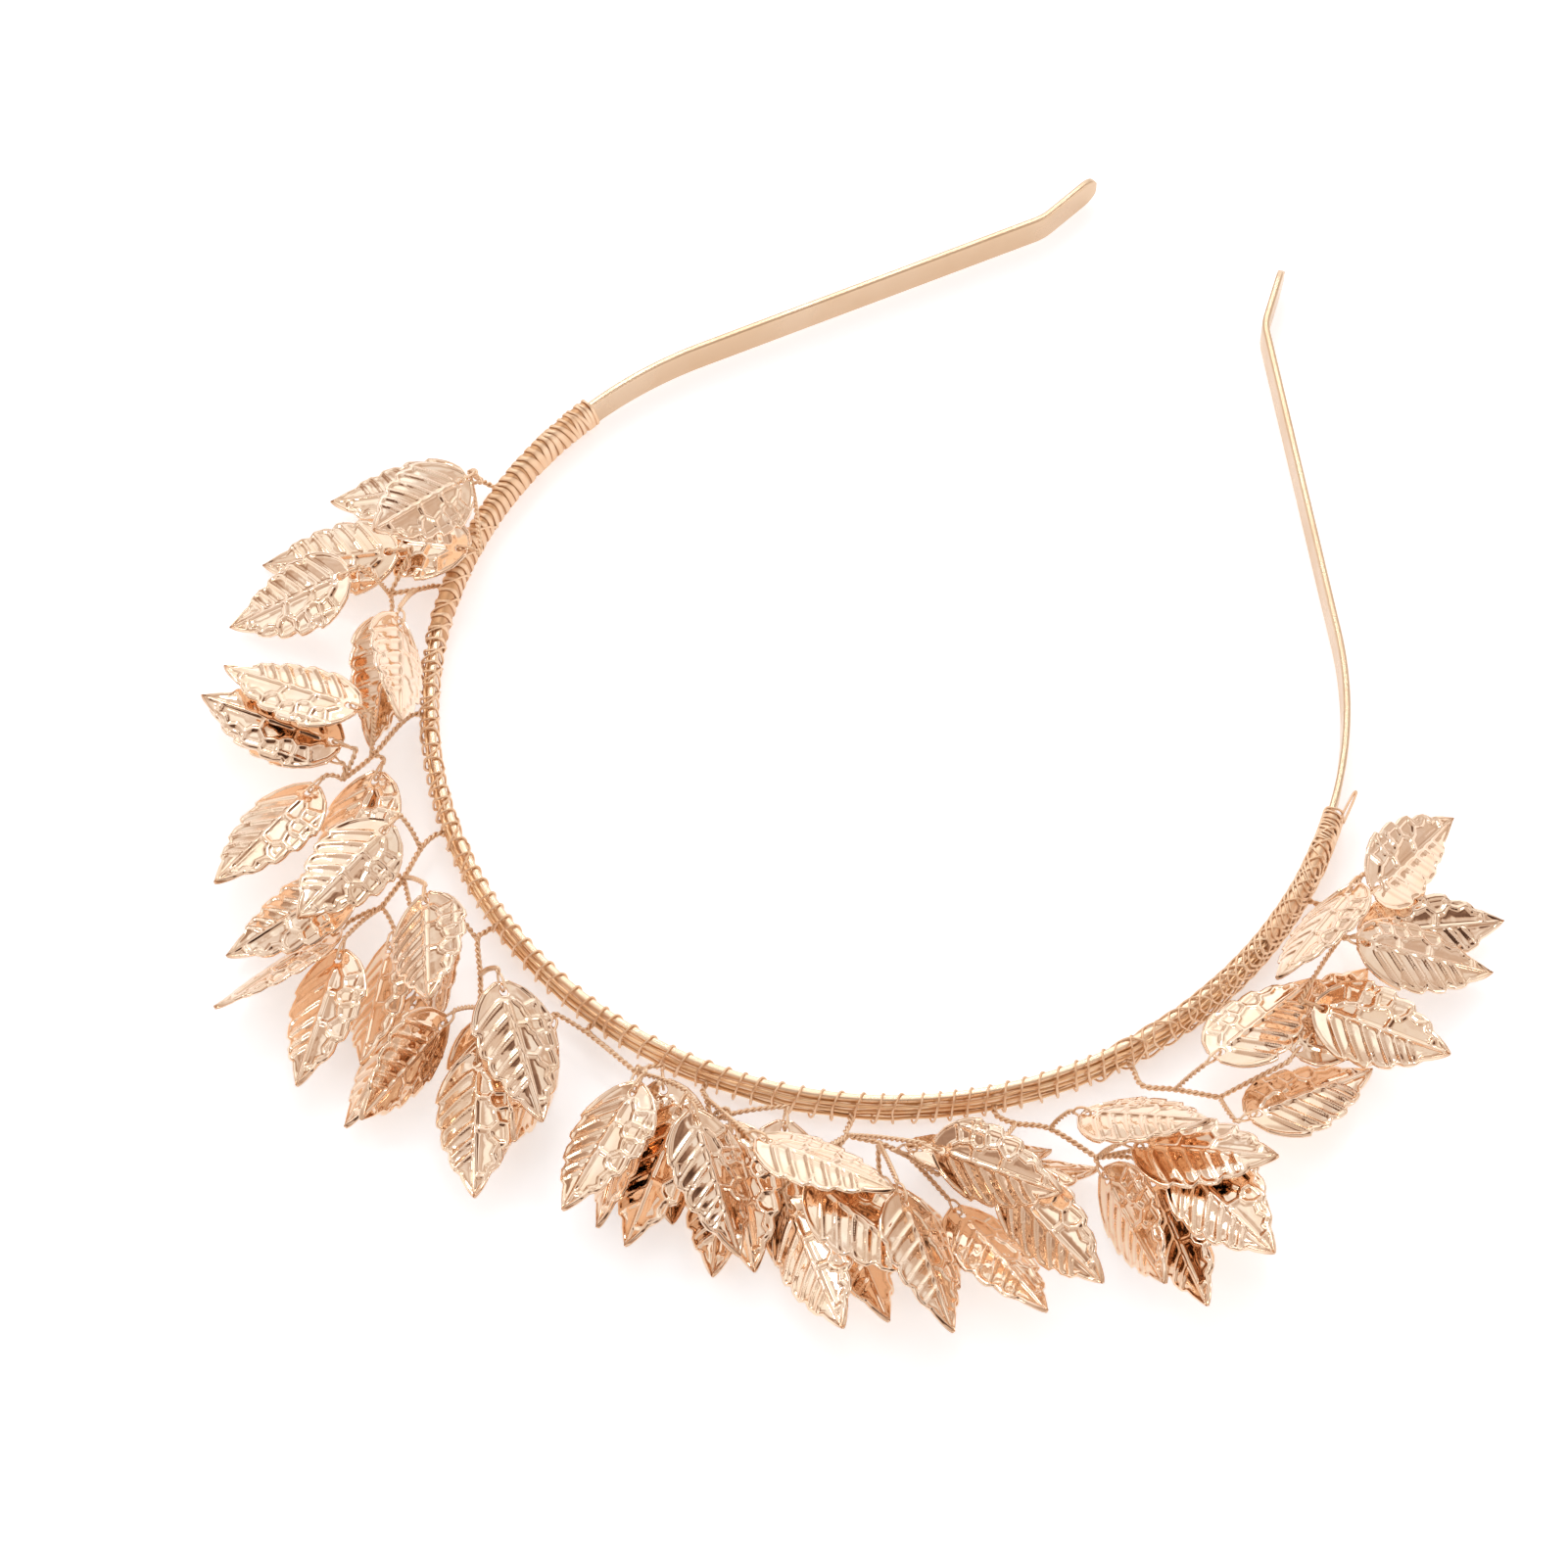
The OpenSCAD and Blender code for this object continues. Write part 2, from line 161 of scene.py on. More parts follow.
def swept(path, across, up, profile, scale=None):
    """A closed bar: the profile, points of (across, up) in a ring, is carried along the path
    and each end is closed by a fan of triangles. scale sizes the profile at each point of the
    path, as (across, up). Returns points, quads and triangles."""
    rings, sides = len(path), len(profile)
    size = np.ones((rings, 2)) if scale is None else scale
    off = profile[None] * size[:, None]
    points = path[:, None] + off[..., :1] * across[:, None] + off[..., 1:] * up[:, None]
    i, j = np.meshgrid(np.arange(rings - 1), np.arange(sides), indexing="ij")
    a, b = i * sides + j, i * sides + (j + 1) % sides
    quads = np.stack([a, b, b + sides, a + sides], -1).reshape(-1, 4)
    k = np.arange(1, sides - 1)
    last = (rings - 1) * sides
    start = np.stack([0 * k, k + 1, k], -1)
    end = np.stack([0 * k + last, last + k, last + k + 1], -1)
    return points.reshape(-1, 3), quads, np.concatenate([start, end])


def polar(angle_deg, radius=1.0):
    """Points at the angles round the middle of the head arc, on the plane of the table."""
    a = np.radians(angle_deg)
    return np.stack([radius * np.cos(a), radius * np.sin(a), 0 * a], -1)


def strip_line():
    """Middle line of the strip from the left tip to the right: straight tip, bend rounded by
    a short curve, straight leg, arc, and the same again, in evenly spread points."""
    left, right = LEAVE[0], LEAVE[1] + 360.0
    foot = [polar(left, ARC_R), polar(right, ARC_R)]
    leg_way = [polar(left - 90), polar(right + 90)]
    tip_way = [polar(left - 90 + BEND[0]), polar(right + 90 - BEND[1])]
    knee = [foot[k] + LEG[k] * leg_way[k] for k in (0, 1)]
    t = np.linspace(0, 1, 9)[:, None]
    curve = [(1 - t) ** 2 * (knee[k] - KNEE * leg_way[k]) + 2 * t * (1 - t) * knee[k]
             + t ** 2 * (knee[k] + KNEE * tip_way[k]) for k in (0, 1)]
    end = np.array([0, 0.15, 0.4, 0.8, 1.3, 1.9, 2.5, 4, 6.5])[:, None]
    ends = [knee[k] + (TIP - end) * tip_way[k] for k in (0, 1)]
    legs = [foot[k] + np.linspace(0.98, 0.02, 24)[:, None] * (LEG[k] - KNEE) * leg_way[k]
            for k in (0, 1)]
    arc = polar(np.linspace(left, right, 260), ARC_R)
    return np.concatenate([ends[0], curve[0][::-1], legs[0], arc,
                           legs[1][::-1], curve[1], ends[1][::-1]])


def directions(path):
    """Unit direction along the path at each point, from the points before and after it."""
    way = np.gradient(path, axis=0)
    return way / np.linalg.norm(way, axis=1, keepdims=True)


corner = np.radians(np.linspace(0, 90, 6))
quarter = np.stack([STRIP_T / 2 - EDGE_R + EDGE_R * np.cos(corner),
                    STRIP_W / 2 - EDGE_R + EDGE_R * np.sin(corner)], -1)
face_points = np.array([[STRIP_T / 2, z] for z in (-2.1, 0.0, 2.1)])
edge_points = np.array([[across, STRIP_W / 2] for across in (0.1, -0.1)])
strip_profile = np.concatenate([
    face_points, quarter, edge_points, quarter[::-1] * (-1, 1),
    -face_points, -quarter, -edge_points, quarter[::-1] * (1, -1)])
line = strip_line()
line[:, 2] = STRIP_Z + STRIP_W / 2
way = directions(line)
outwards = np.cross(way, (0, 0, 1.0))
length = np.concatenate([[0], np.cumsum(np.linalg.norm(np.diff(line, axis=0), axis=1))])
to_end = np.minimum(length, length[-1] - length)
round_tip = np.sqrt(np.clip(1 - (1 - np.clip(to_end / (STRIP_W / 2), 0, 1)) ** 2, 0.02, 1))
ring_size = np.stack([np.clip(0.55 + to_end / 0.6, 0, 1), round_tip], -1)
points, quads, fans = swept(line, outwards, np.broadcast_to((0, 0, 1.0), line.shape),
                            strip_profile, ring_size)
around = np.tile(np.linspace(0, 12, len(strip_profile)), len(line))
along = np.repeat(length, len(strip_profile))

# the third colour is a lighter gold: painted light laid where the binding covers the strip
satin, nodes, link, coat, shader = metal(
    "satin_rose_gold", (0.76, 0.56, 0.39), (0.72, 0.51, 0.335), (0.92, 0.69, 0.48),
    (0.24, 0.34), 90.0)
# the lines from the rolling: noise drawn out along the strip
own_map = nodes.new("ShaderNodeUVMap")
own_map.uv_map = "along_across"
stretch = nodes.new("ShaderNodeMapping")
stretch.inputs["Scale"].default_value = (0.35, 60.0, 1.0)
link(own_map.outputs["UV"], stretch.inputs["Vector"])
lines = nodes.new("ShaderNodeTexNoise")
lines.inputs["Scale"].default_value = 6.0
lines.inputs["Detail"].default_value = 4.0
link(stretch.outputs["Vector"], lines.inputs["Vector"])
rolled = nodes.new("ShaderNodeBump")
rolled.inputs["Strength"].default_value = 0.22
rolled.inputs["Distance"].default_value = 0.00004
link(lines.outputs["Fac"], rolled.inputs["Height"])
link(rolled.outputs["Normal"], shader.inputs["Normal"])
# painted light: the strip is mixed to the lighter gold under the binding, lighting the shaded gaps
# between the wires
painted_light_under_wire = nodes.new("ShaderNodeAttribute")
painted_light_under_wire.attribute_name = "painted_light_under_wire"
link(painted_light_under_wire.outputs["Fac"], coat.inputs["Painted Light Mix"])

at = np.degrees(np.arctan2(points[:, 1], points[:, 0])) % 360
covered = (at > BOUND[0]) | (at < BOUND[1] - 360)
strip = made_mesh("steel_strip", points, quads, fans, satin,
                  values=[("painted_light_under_wire", covered)], uv_mm=np.stack([along, around], -1))
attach(strip, "root")
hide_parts("headband")


# Core wires: three soft golden wires laid along the outside of the strip, held
# there by the binding. They wander a little between its turns.
CORE_R, CORE_AT, CORE_STEPS = 0.25, 61.63, 420  # half thickness, distance from the middle
CORE_Z = (1.3, 3.05, 4.6)
RING_UP = (0.12, 0.2, 0.97)  # near upright, and never along a wire
chance = np.random.default_rng(11)


def round_profile(sides, radius=1.0):
    """Ring of points of a round wire."""
    a = np.arange(sides) * 2 * np.pi / sides
    return radius * np.stack([np.cos(a), np.sin(a)], -1)


def joined(parts):
    """Many sets of points, quads and triangles as one, each set's faces counted on from the
    points before it."""
    starts = np.cumsum([0] + [len(p[0]) for p in parts[:-1]])
    return (np.concatenate([p[0] for p in parts]),
            np.concatenate([p[1] + s for p, s in zip(parts, starts)]),
            np.concatenate([p[2] + s for p, s in zip(parts, starts)]))


def wander(steps, period, size):
    """A smooth random walk: chance values set a period apart and joined by cosine curves."""
    knots = chance.uniform(-size, size, int(steps / period) + 3)
    t = np.arange(steps) / period
    k, f = np.floor(t).astype(int), t % 1
    f = (1 - np.cos(np.pi * f)) / 2
    return knots[k] * (1 - f) + knots[k + 1] * f


def wire(path, radius, sides=6, squash=None):
    """A round wire along a path, its ring turned by a fixed direction near upright. squash
    sizes the ring at each point, as (across, up)."""
    t = directions(path)
    side = np.cross(t, RING_UP)
    side /= np.linalg.norm(side, axis=1, keepdims=True)
    return swept(path, side, np.cross(side, t), round_profile(sides, radius), squash)


def wire_metal(name, bright, warm, painted_light_colour, roughness):
    """A plated wire's metal, with the fine marks that drawing it leaves."""
    material, nodes, link, coat, shader = metal(name, bright, warm, painted_light_colour, roughness, 260.0)
    drawn = nodes.new("ShaderNodeTexNoise")
    drawn.inputs["Scale"].default_value = 2600.0
    drawn.inputs["Detail"].default_value = 2.0
    where = nodes.new("ShaderNodeTexCoord")
    link(where.outputs["Object"], drawn.inputs["Vector"])
    marks = nodes.new("ShaderNodeBump")
    marks.inputs["Strength"].default_value = 0.15
    marks.inputs["Distance"].default_value = 0.00003
    link(drawn.outputs["Fac"], marks.inputs["Height"])
    link(marks.outputs["Normal"], shader.inputs["Normal"])
    # reads the mask of painted shade and copper tone
    painted_shade_and_copper = nodes.new("ShaderNodeAttribute")
    painted_shade_and_copper.attribute_name = "painted_shade_and_copper"
    link(painted_shade_and_copper.outputs["Fac"], coat.inputs["Painted Light Mix"])
    return material


cores = []
for height in CORE_Z:
    angle = np.linspace(BOUND[0] + 0.4, BOUND[1] - 0.4, CORE_STEPS)
    path = polar(angle) * (CORE_AT + wander(CORE_STEPS, 5, 0.08))[:, None]
    path[:, 2] = height + wander(CORE_STEPS, 5, 0.22) + wander(CORE_STEPS, 17, 0.2)
    cores.append(wire(path, CORE_R))
golden = wire_metal("golden_core_wire", (1.0, 0.735, 0.475), (1.0, 0.65, 0.37),
                    (0.5, 0.24, 0.1), (0.28, 0.42))
core = made_mesh("core_wires_laid", *joined(cores), golden)
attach(core, "root")
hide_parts("core_wires")


# Binding: one fine wire wound round the strip and the core wires. It is rolled flat
# and laid close at the left end, open round the front, and crossed at the right end,
# where it ends in a loose loop. A lower layer, drawn as a skin, lies under close turns.
# Painted shade with copper tone darkens the creases between flat turns and the skin
# where it shows between them.
WIRE_R = 0.17
BOX_R, BOX_Z = (59.95, 62.3), (0.21, 5.79)  # the box that the middle of the wire follows
SQUARE = 3.2  # how square the box's section is: 2 is an oval
TURN_POINTS, WIRE_SIDES = 36, 8


def wound(starts, pitches, tilt, flat, loose=0.15, grow=(0.0, 0.0), hand=1.0):
    """The wound wire: turn after turn round a box with well rounded corners, which is the
    curve where |across|^SQUARE + |up|^SQUARE is constant. pitches gives millimetres a turn,
    tilt how far a turn leans and flat half the wire's width, at the angles in starts, and
    grow how far the box is larger, from its start to its end. loose is the share by which
    chance changes a turn's pitch, lean and width; a turn is widest on the strip's faces and
    narrower where it folds over an edge."""
    angles = [starts[0]]
    while angles[-1] < starts[-1]:
        pitch = np.interp(angles[-1], starts, pitches) * chance.uniform(1 - loose, 1 + loose)
        angles.append(angles[-1] + np.degrees(pitch / ARC_R))
    turns = len(angles) - 1
    t = np.arange(turns * TURN_POINTS) / TURN_POINTS
    of_turn = np.arange(turns + 1)
    at = np.interp(t, of_turn, angles)
    changed = [np.interp(t, of_turn, chance.uniform(-loose, loose, turns + 1)) for _ in range(3)]
    phase = hand * 2 * np.pi * t
    c, s = np.cos(phase), np.sin(phase)
    grown = np.interp(at, np.linspace(starts[0], starts[-1], len(grow)), grow)
    up = grown / 4 + 0.3 * np.abs(changed[0])
    half_r, half_z = (BOX_R[1] - BOX_R[0]) / 2 + grown + up / 3, (BOX_Z[1] - BOX_Z[0]) / 2
    rr = np.sign(c) * np.abs(c) ** (2 / SQUARE) * half_r
    zz = np.sign(s) * np.abs(s) ** (2 / SQUARE) * (half_z + up * (s > 0))
    lean = (np.interp(at, starts, tilt) + 2.0 * changed[1]) * (zz / half_z + 0.5 * rr / half_r)
    path = polar(at + np.degrees(lean / ARC_R)) * ((BOX_R[0] + BOX_R[1]) / 2 + rr)[:, None]
    path[:, 2] = sum(BOX_Z) / 2 + zz
    # a ring of the wire has one side along the strip and one out of the box's face
    t_way = directions(path)
    out = np.cross(t_way, polar(at + 90))
    out /= np.linalg.norm(out, axis=1, keepdims=True)
    width = np.interp(at, starts, flat) / WIRE_R * (1 + 1.2 * changed[2])
    width = np.maximum(width * (0.62 + 0.38 * np.abs(c) ** 0.7), 0.85)
    size = np.stack([width, 1.0 - 0.09 * (width - 1)], -1)
    return swept(path, np.cross(out, t_way), out, round_profile(WIRE_SIDES, WIRE_R), size)


TURNS = np.array((  # angle, millimetres a turn, lean, half the wire's width
    (161.5, 0.7, 0.5, 0.3), (165, 0.8, 0.9, 0.34), (167.5, 1.3, 0.9, 0.56),
    (178, 1.3, 0.8, 0.56), (188, 1.35, 0.8, 0.52), (197, 1.7, 0.8, 0.38),
    (212, 2.0, 0.6, 0.24), (240, 2.2, 0.4, 0.18), (255, 2.5, 0.2, 0.17),
    (300, 2.5, -0.2, 0.17), (330, 2.2, -0.8, 0.17), (345, 1.7, -2.0, 0.18),
    (350, 1.2, -2.6, 0.21), (366, 1.0, -2.4, 0.24), (368, 0.45, -0.4, 0.23),
    (372.5, 0.42, -0.2, 0.22)))
CROSSED_RIGHT = np.array((
    (326, 3.4, 2.4, 0.17), (345, 2.2, 2.8, 0.2), (367, 1.9, 2.6, 0.24)))
CROSSED_LEFT = np.array((
    (182, 4.5, 1.6, 0.17), (200, 3.6, 1.2, 0.17), (232, 4.2, 1.6, 0.17)))
layers = [wound(*TURNS.T, loose=0.2, grow=(0, 0, 0, 0, 0, 0, 0, 0.05, 0.12)),
          wound(*CROSSED_RIGHT.T, loose=0.3, grow=(0.05, 0.1, 0.15), hand=-1.0),
          wound(*CROSSED_LEFT.T, loose=0.12, grow=(0.1, 0.1), hand=-1.0)]

# painted shade with copper tone at the two edges of the flat turns, in the creases
# between them, and a little copper tone all over the open ones
shade_and_copper_shown = []
for part in layers:
    at = np.degrees(np.arctan2(part[0][:, 1], part[0][:, 0])) % 360
    edges = np.tile([1, 0.15, 0, 0.15], len(at) // 4) * (part is layers[0])
    shade_and_copper_shown.append(edges * np.interp(at, (161, 167, 198, 206), (0.4, 0.8, 0.8, 0))
                        + np.interp(at, (196, 214, 325, 345), (0, 0.18, 0.18, 0)) + 0.03)

SKIN_R, SKIN_Z = 1.12, 2.74  # half its section
UNDER_CLOSE_TURNS = ((162.0, 201.0, 0.7), (352.0, 371.8, 0.15))  # from, to, painted shade and copper shown
a = np.radians(np.linspace(0, 360, 32, endpoint=False))
skin_profile = np.stack([np.sign(np.cos(a)) * np.abs(np.cos(a)) ** (2 / SQUARE) * SKIN_R,
                         np.sign(np.sin(a)) * np.abs(np.sin(a)) ** (2 / SQUARE) * SKIN_Z], -1)
# the skin shows only between turns; its share darkens those gaps with painted shade
for start, end, shade_shown in UNDER_CLOSE_TURNS:
    path = polar(np.linspace(start, end, 60), sum(BOX_R) / 2)
    path[:, 2] = sum(BOX_Z) / 2
    layers.append(swept(path, np.cross(directions(path), (0, 0, 1.0)),
                        np.broadcast_to((0, 0, 1.0), path.shape), skin_profile))
    shade_and_copper_shown.append(np.full(len(layers[-1][0]), shade_shown))

# the loose loop leaves the binding at LOOP_AT and lies nearly along the right leg
LOOP_AT, LOOP_R, LOOP_Z, LOOP_TURN = 371.0, 62.45, 5.0, 84.0
LOOP_LONG, LOOP_HALF = 5.2, 0.3
t = np.linspace(0, 1, 44)
loop_wide = LOOP_HALF * np.cos(np.pi * t) * (1 + 0.5 * np.sin(np.pi * t) ** 8)
loop = polar(np.array([LOOP_AT]), LOOP_R)[0] + (0, 0, LOOP_Z) \
    + LOOP_LONG * np.sin(np.pi * t)[:, None] ** 0.8 * polar(np.array([LOOP_AT + LOOP_TURN]))[0] \
    + loop_wide[:, None] * polar(np.array([LOOP_AT]))[0]
layers.append(wire(loop, WIRE_R))
shade_and_copper_shown.append(np.zeros(len(layers[-1][0])))

copper_gold = wire_metal("copper_gold_wire", (0.94, 0.705, 0.5), (0.91, 0.64, 0.42),
                         (0.6, 0.3, 0.12), (0.42, 0.55))
binding = made_mesh("binding_wire", *joined(layers), copper_gold,
                    values=[("painted_shade_and_copper", np.concatenate(shade_and_copper_shown))])
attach(binding, "root")
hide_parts("wire_binding")


# Sprigs: each main stem is two wires twisted together, and so is the twig that
# leaves it for each leaf. The twig's wire goes round the leaf's base and through
# its hole, which holds the leaf. Places are x y z in millimetres.
STEMS = (  # sprig, angle of its root on the binding, knots
    (1, 178, ((-64.5, 1.5, 4.5), (-66, 1, 6))),
    (2, 194, ((-62.8, -17.8, 4.5), (-65.6, -20.2, 4.5))),
    (3, 212.5, ((-54, -37, 3.6), (-54.5, -42.5, 3.6), (-55.8, -47.5, 4))),
    (4, 229.5, ((-41.5, -51, 3.6), (-41, -56, 4), (-41.3, -61, 3.6))),
    (5, 244, ((-28, -58.8, 3.4), (-25, -63, 3.4), (-22.5, -67, 3.2))),
    (6, 262, ((-4.5, -64.3, 4), (0, -65.5, 4.5))),
    (7, 277.5, ((9.5, -64, 4), (11.5, -66.5, 4.5))),
    (8, 295, ((27.6, -59.5, 4), (31.5, -58.4, 3.8), (35.5, -58, 3.4))),
    (9, 312, ((45.3, -47.4, 4), (49.4, -45.8, 3.8), (56.5, -46.4, 3.8))),
    (10, 329, ((56.8, -34.6, 4), (60.6, -33, 4), (66, -31.2, 4))),
    (11, 0.5, ((66, 0.5, 4), (69, -1, 4))),
)
LEAVES = np.array((  # sprig, knot that the twig leaves, x y z of the hole, heading, pitch, roll
    (1, 1, -64.5, -3, 10.5, -100, 25, -20), (1, 1, -65.5, -2.5, 8, -152, -16, 0),
    (1, 1, -60, -11, 8, -171, -19, 0), (2, 1, -68.5, -15.5, 6.5, -154, -17, -10),
    (2, 1, -70, -24.5, 11.5, -142, -31, -10), (2, 1, -62.5, -25, 5.5, -65, -1, -50),
    (2, 0, -59, -27, 12, -56, 15, -55), (3, 1, -58, -41, 12, -172, -4, 15),
    (3, 2, -58.5, -45, 8, -168, 8, 0), (3, 2, -59.5, -46, 5, 180, -7, 30),
    (3, 2, -58, -52, 6, -99, 4, 15), (3, 1, -52, -45.5, 4.5, -80, 0, 20),
    (4, 0, -45, -53.5, 9.5, -95, 11, -10), (4, 1, -45.5, -62, 8.5, -122, -15, 10),
    (4, 2, -44.5, -68, 5, -112, 4, 50), (4, 2, -41, -71.5, 7, -75, -3, 25),
    (4, 1, -34.5, -60.5, 11, -56, 19, 25), (4, 2, -37, -66, 4.5, -69, 8, 40),
    (5, 0, -31, -61.5, 7, -70, -7, 65), (4, 1, -29.5, -72, 6, -87, -7, 40),
    (5, 2, -23.5, -74, 9, -91, 13, -65), (5, 2, -17.5, -75.5, 7.5, -60, -4, 10),
    (5, 2, -20.5, -69, 3.5, -53, -5, 0), (5, 1, -18.5, -67, 12, -43, -6, -15),
    (6, 0, -12.5, -66, 4.5, -72, 13, -60), (6, 1, 3, -71, 12, -88, -1, 20),
    (6, 1, 1.5, -69, 7, -74, -9, 50), (6, 1, 8.5, -69.5, 8.5, -81, -9, 20),
    (6, 1, 4, -65.5, 4, -56, -4, 5), (7, 1, 12, -70.5, 12, -42, -10, -25),
    (7, 1, 15, -67.5, 3, -67, -1, 15), (7, 1, 15.5, -68, 7.5, -51, -9, 20),
    (7, 1, 20.5, -63, 4.5, -62, -5, -15), (7, 0, 21, -68.5, 12, 2, 11, -30),
    (8, 0, 27, -73, 6.5, -40, 6, 35), (8, 0, 30.5, -68, 5, -38, -1, -30),
    (8, 0, 29.5, -70.5, 11.5, -10, -2, 0), (8, 1, 40, -67, 11.5, -41, -2, -35),
    (8, 1, 36, -63, 3, -32, 16, -30), (8, 2, 37, -58.5, 8, 39, -18, -35),
    (8, 0, 40.5, -59, 12, -2, 21, 50), (8, 2, 45.5, -62, 4.5, -25, 11, -25),
    (9, 0, 49.5, -58.5, 11, -21, 4, 45), (8, 2, 43, -58, 6.5, 39, -13, -35),
    (9, 1, 54, -44.5, 11, 7, 34, -25), (9, 2, 62, -45.5, 11.5, 13, 24, -5),
    (9, 2, 67.5, -45.5, 12, -24, 15, 20), (9, 2, 63.5, -38.5, 3, -22, 16, 15),
    (9, 2, 64.5, -47, 6.5, -41, 2, 45), (9, 2, 59, -49, 5, -39, 15, 60),
    (10, 1, 64, -28, 9.5, 75, -12, -10), (10, 2, 72, -21, 6.5, 85, -17, 15),
    (10, 2, 71.5, -32, 6.5, 59, -14, -10), (11, 1, 72, -15, 7.5, -1, 16, 25),
    (11, 1, 71, 2, 12, 80, -18, 40), (11, 1, 72, -1.5, 5.5, 40, -6, 15),
    (11, 1, 73, -5, 10, 28, -22, -5), (11, 0, 68, 0, 12, -96, 11, 45)), float)
STRAND_R, STEM_STRAND_R, TWIST = 0.19, 0.21, 1.7  # TWIST: length of one twist
ROOT_R, ROOT_Z = (62.0, 63.5), 3.0
TWIG_END, TWIG_BEND = (-2.5, 0, -0.1), (-3.6, 0, -0.1)  # from the hole, in the leaf's own axes
TIE = np.array(((-2.6, 0, -0.1), (-1.9, 0.1, 0.42), (-0.9, 0.12, 0.52), (-0.2, 0.02, 0.42),
                (0.1, 0, -0.1), (-0.2, -0.02, -0.6), (-0.9, -0.12, -0.66),
                (-1.9, -0.1, -0.5), (-2.7, 0, -0.1)))


def leaf_axes(leaf):
    """The three directions of a leaf: along it, to its left, and out of its face, turned by
    its heading, then its pitch, then its roll."""
    h, p, r = np.radians(leaf[5:8])
    along_leaf = np.array((np.cos(h) * np.cos(p), np.sin(h) * np.cos(p), np.sin(p)))
    left = np.array((-np.sin(h), np.cos(h), 0))
    face = np.cross(along_leaf, left)
    return np.array((along_leaf, left * np.cos(r) + face * np.sin(r),
                     face * np.cos(r) - left * np.sin(r)))


def smooth_path(knots, step):
    """Curve through the knots, each stretch a cubic whose slope at a knot is half the way
    from the knot before to the one after, in points about a step apart."""
    p = np.concatenate([[2 * knots[0] - knots[1]], knots, [2 * knots[-1] - knots[-2]]])
    reach = np.linalg.norm(np.diff(knots, axis=0), axis=1)
    count = max(4, int(reach.sum() / step))
    mark = np.concatenate([[0], np.cumsum(reach)])
    t = np.interp(np.linspace(0, mark[-1], count), mark, np.arange(len(knots)))
    k = np.minimum(t.astype(int), len(knots) - 2)
    f = (t - k)[:, None]
    a, b, c, d = p[k], p[k + 1], p[k + 2], p[k + 3]
    return 0.5 * (2 * b + (c - a) * f + (2 * a - 5 * b + 4 * c - d) * f ** 2
                  + (3 * b - a - 3 * c + d) * f ** 3)


def twisted_pair(knots, radius=STRAND_R):
    """Two strands on opposite sides of a smooth path, turning round it once in each TWIST of
    its length."""
    path = smooth_path(np.array(knots, float), 0.17)
    t = directions(path)
    side = np.cross(t, RING_UP)
    side /= np.linalg.norm(side, axis=1, keepdims=True)
    up = np.cross(side, t)
    gone = np.concatenate([[0], np.cumsum(np.linalg.norm(np.diff(path, axis=0), axis=1))])
    turn = (2 * np.pi * gone / TWIST + chance.uniform(0, 6))[:, None]
    off = 0.98 * radius * (np.cos(turn) * side + np.sin(turn) * up)
    return [wire(path + off, radius), wire(path - off, radius)]


for sprig, at, knots in STEMS:
    out = polar(np.array([float(at)]))[0]
    root = [out * r + (0, 0, ROOT_Z) for r in ROOT_R]
    strands = twisted_pair(root + list(knots), STEM_STRAND_R)
    for leaf in LEAVES[LEAVES[:, 0] == sprig]:
        turned = leaf_axes(leaf)
        knot = np.array(knots[int(leaf[1])], float)
        base = leaf[2:5] + np.array(TWIG_END) @ turned
        back = leaf[2:5] + np.array(TWIG_BEND) @ turned
        middle = (back + knot) / 2 + (0, 0, 0.25)
        strands += twisted_pair([base, back * 0.6 + base * 0.4, middle, knot])
        tie_path = smooth_path(leaf[2:5] + TIE @ turned, 0.22)
        strands.append(wire(tie_path, STRAND_R * 0.95))
    piece = made_mesh("twisted_wire_%d" % sprig, *joined(strands), copper_gold)
    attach(piece, "root")
    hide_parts("sprig_wire_%d" % sprig)


# Leaves: one stamping in thin brass sheet, rose gold plated and polished. It has
# a toothed margin, a raised midrib, slanting bars on its right half, smooth panels
# among pebbles on its left half, and a hole at its base.
LEAF_LEN, LEAF_HALF, SHEET, CUP, CURL = 18.5, 5.6, 0.22, 0.9, 0.5
HOLE = (0.75, 4)  # half its length, and half its width in steps of the grid
ALONG, ACROSS = 96, 24  # steps of the grid along the leaf, and from midrib to margin
MARGIN = np.array((  # along, half the width, as shares
    (-0.07, 0.2), (-0.03, 0.42), (0, 0.56), (0.06, 0.72), (0.12, 0.84), (0.2, 0.95), (0.27, 1),
    (0.295, 0.9), (0.36, 0.955), (0.42, 0.965), (0.45, 0.95), (0.475, 0.82), (0.54, 0.85),
    (0.59, 0.825), (0.62, 0.79), (0.645, 0.65), (0.71, 0.635), (0.76, 0.565), (0.79, 0.5),
    (0.81, 0.38), (0.87, 0.3), (0.93, 0.19), (0.97, 0.1), (1, 0.015)))
BAR_VEINS = np.array((0.9, 3.3, 5.8, 8.2, 10.4, 12.3))  # where they leave the midrib
BAR_SLANT = 0.65
